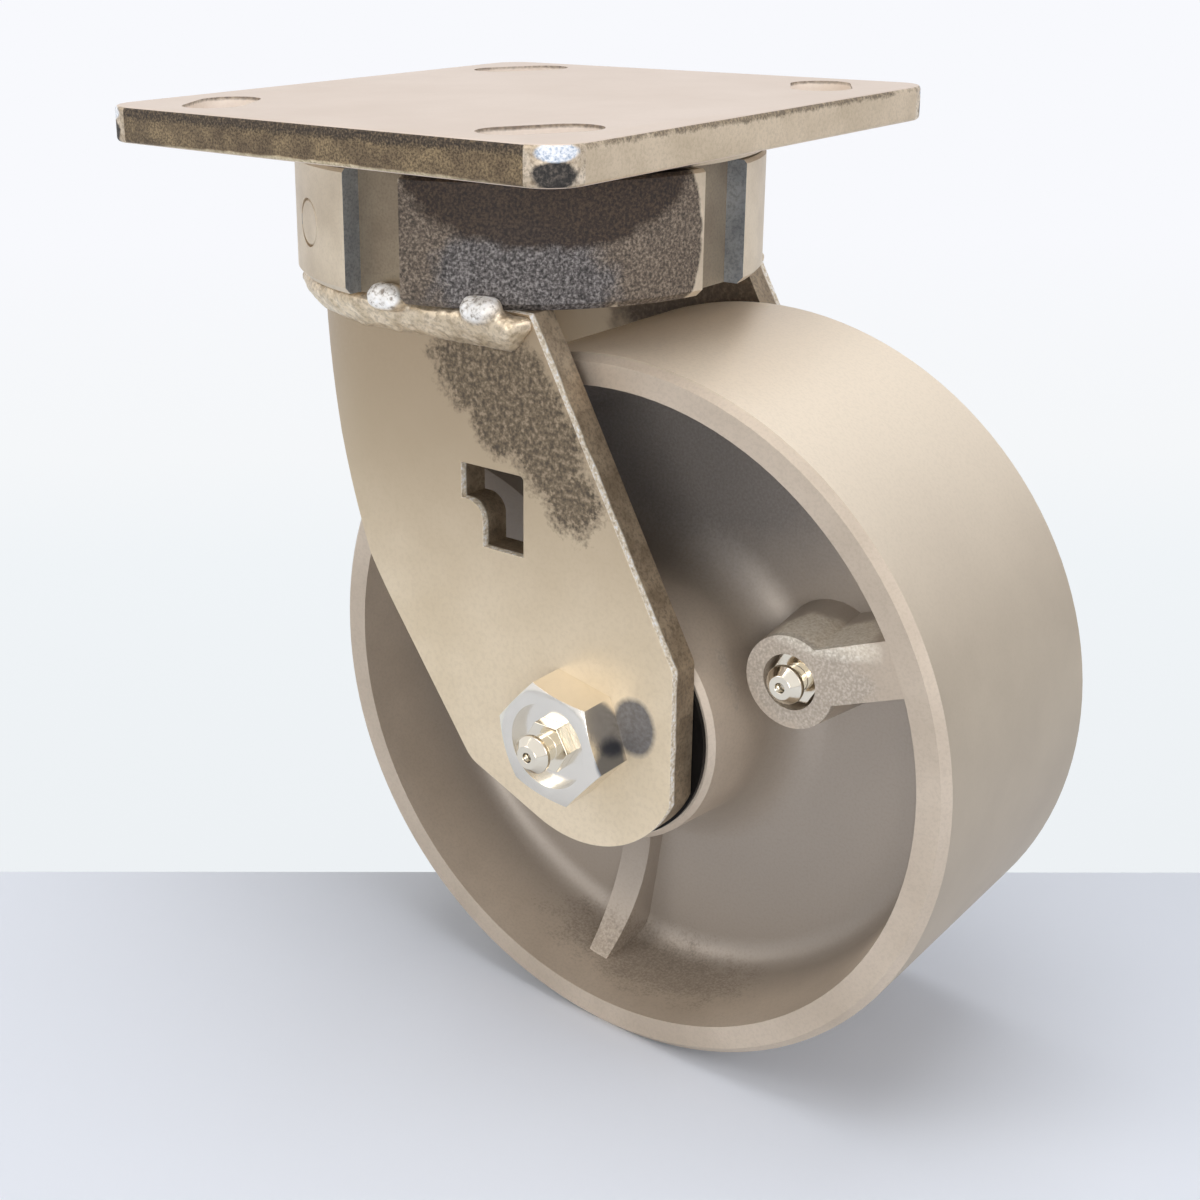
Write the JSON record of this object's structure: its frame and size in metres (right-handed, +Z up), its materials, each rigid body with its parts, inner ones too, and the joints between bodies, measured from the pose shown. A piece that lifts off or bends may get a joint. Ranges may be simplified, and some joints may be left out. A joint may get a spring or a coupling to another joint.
{
  "type": "plate castor",
  "caption": "Heavy duty swivel castor with a slotted top plate, a ball race, two welded steel legs and an iron wheel on a greased axle.",
  "frame": {"origin": "centre of the plate's top face, on the swivel axis", "axes": "+Z up out of the plate's top face, +X towards the trailing wheel, +Y from the axle bolt's head to its nut"},
  "size_m": [0.1524, 0.1142, 0.1651],
  "materials": {
    "plated_plate": "satin zinc plating, sheared edges",
    "plated_forging": "zinc plated forging, grainy",
    "plated_leg": "zinc plated steel, mottled",
    "weld_metal": "zinc plated weld bead, lumpy",
    "plated_fastener": "zinc plated, bright",
    "bearing_steel": "ground and polished",
    "washer_steel": "dark oiled steel",
    "fitting_steel": "zinc plated, bright",
    "wheel_iron": "smooth taupe finish on cast iron"
  },
  "bodies": {
    "plate": {"top_plate": "plated_plate", "inner_race": "plated_forging", "race_weld": "weld_metal"},
    "balls": {"race_balls": "bearing_steel"},
    "fork": {"swivel_ring": "plated_forging", "ball_fill_plug": "plated_forging", "race_grease_fitting": "fitting_steel", "race_fitting_ball": "bearing_steel", "near_leg": "plated_leg", "far_leg": "plated_leg", "near_leg_weld": "weld_metal", "far_leg_weld": "weld_metal", "axle_bolt": "plated_fastener", "axle_nut": "plated_fastener", "axle_bushing": "bearing_steel", "near_thrust_washer": "washer_steel", "far_thrust_washer": "washer_steel", "axle_grease_fitting": "fitting_steel", "axle_fitting_ball": "bearing_steel"},
    "wheel": {"wheel": "wheel_iron", "hub_grease_fitting": "fitting_steel", "hub_fitting_ball": "bearing_steel"},
    "rollers": {"roller_cage": "bearing_steel", "bearing_rollers": "bearing_steel"}
  },
  "joints": [
    {"name": "swivel", "type": "hinge", "parent": "plate", "child": "fork", "pos_m": [0, 0, 0], "axis": [0, 0, 1], "continuous": true},
    {"name": "ball_orbit", "type": "hinge", "parent": "plate", "child": "balls", "pos_m": [0, 0, 0], "axis": [0, 0, 1], "continuous": true},
    {"name": "wheel_spin", "type": "hinge", "parent": "fork", "child": "wheel", "pos_m": [0.0381, 0, -0.1016], "axis": [0, 1, 0], "continuous": true},
    {"name": "roller_orbit", "type": "hinge", "parent": "fork", "child": "rollers", "pos_m": [0.0381, 0, -0.1016], "axis": [0, 1, 0], "continuous": true}
  ],
  "couplings": [
    {"joint": "ball_orbit", "follows": "swivel", "ratio": 0.544},
    {"joint": "roller_orbit", "follows": "wheel_spin", "ratio": 0.613}
  ]
}
